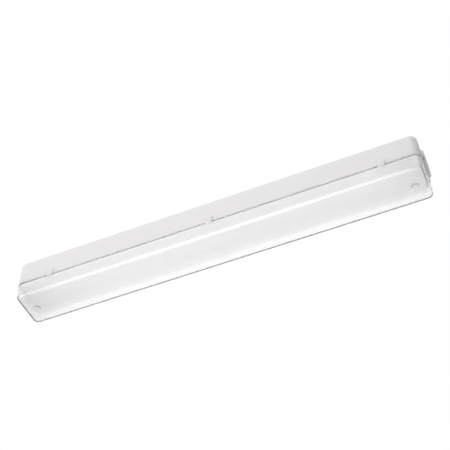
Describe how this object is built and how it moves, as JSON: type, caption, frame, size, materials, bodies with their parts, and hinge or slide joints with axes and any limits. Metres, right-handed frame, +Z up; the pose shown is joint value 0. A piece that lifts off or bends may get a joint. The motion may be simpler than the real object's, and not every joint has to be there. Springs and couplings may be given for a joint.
{
  "type": "vapor tight light fixture",
  "caption": "Long narrow ceiling light with a white moulded housing, a clear drop lens sealed by a gasket, and swing latches along both sides.",
  "frame": {"origin": "middle of the housing's flat top face, which lies against the ceiling", "axes": "+X along the fixture towards the open conduit entry, +Z up into the ceiling, the lens faces -Z"},
  "size_m": [1.2735, 0.1466, 0.144],
  "materials": {
    "housing_white": "satin moulded white polycarbonate",
    "gasket_silicone": "matt dark grey silicone",
    "lens_clear": "clear moulded acrylic, lightly diffusing, glossy outside",
    "latch_white": "satin moulded white",
    "steel": "bright stainless steel",
    "tray_white": "white baked enamel on sheet steel",
    "board_white": "white solder mask on an aluminium board",
    "led_phosphor": "pale yellow phosphor in a white frame",
    "driver_case": "white painted steel case",
    "terminal_plastic": "matt white plastic",
    "earth_green": "green painted steel",
    "supply_lead": "matt black insulation",
    "earth_lead_green": "matt green insulation",
    "board_lead": "matt white insulation",
    "plug_plastic": "matt white plastic"
  },
  "bodies": {
    "fixture": {"housing": "housing_white", "gasket": "gasket_silicone", "latch_pins": "steel", "gear_tray": "tray_white", "tray_screws": "steel", "board_screws": "steel", "led_driver": "driver_case", "driver_screws": "steel", "terminal_block": "terminal_plastic", "terminal_screw": "steel", "earth_screw": "earth_green", "supply_leads": "supply_lead", "earth_lead": "earth_lead_green", "board_leads": "board_lead", "entry_plug": "plug_plastic", "plug_seal": "gasket_silicone", "led_board_near_left": "board_white", "led_chips_near_left": "led_phosphor", "led_board_near_right": "board_white", "led_chips_near_right": "led_phosphor", "led_board_far_left": "board_white", "led_chips_far_left": "led_phosphor", "led_board_far_right": "board_white", "led_chips_far_right": "led_phosphor"},
    "lens": {"lens": "lens_clear"},
    "latch_near_left": {"latch_near_left": "latch_white"},
    "latch_near_mid": {"latch_near_mid": "latch_white"},
    "latch_near_right": {"latch_near_right": "latch_white"},
    "latch_far_left": {"latch_far_left": "latch_white"},
    "latch_far_mid": {"latch_far_mid": "latch_white"},
    "latch_far_right": {"latch_far_right": "latch_white"}
  },
  "joints": [
    {"name": "lens_drop", "type": "slide", "parent": "fixture", "child": "lens", "axis": [0, 0, -1], "range_m": [0, 0.15]},
    {"name": "latch_near_left_swing", "type": "hinge", "parent": "fixture", "child": "latch_near_left", "pos_m": [-0.5145, -0.0707, -0.0755], "axis": [-1, 0, 0], "range_deg": [0, 120]},
    {"name": "latch_near_mid_swing", "type": "hinge", "parent": "fixture", "child": "latch_near_mid", "pos_m": [0.002, -0.0707, -0.0755], "axis": [-1, 0, 0], "range_deg": [0, 120]},
    {"name": "latch_near_right_swing", "type": "hinge", "parent": "fixture", "child": "latch_near_right", "pos_m": [0.5185, -0.0707, -0.0755], "axis": [-1, 0, 0], "range_deg": [0, 120]},
    {"name": "latch_far_left_swing", "type": "hinge", "parent": "fixture", "child": "latch_far_left", "pos_m": [-0.5185, 0.0707, -0.0755], "axis": [1, 0, 0], "range_deg": [0, 120]},
    {"name": "latch_far_mid_swing", "type": "hinge", "parent": "fixture", "child": "latch_far_mid", "pos_m": [-0.002, 0.0707, -0.0755], "axis": [1, 0, 0], "range_deg": [0, 120]},
    {"name": "latch_far_right_swing", "type": "hinge", "parent": "fixture", "child": "latch_far_right", "pos_m": [0.5145, 0.0707, -0.0755], "axis": [1, 0, 0], "range_deg": [0, 120]}
  ]
}
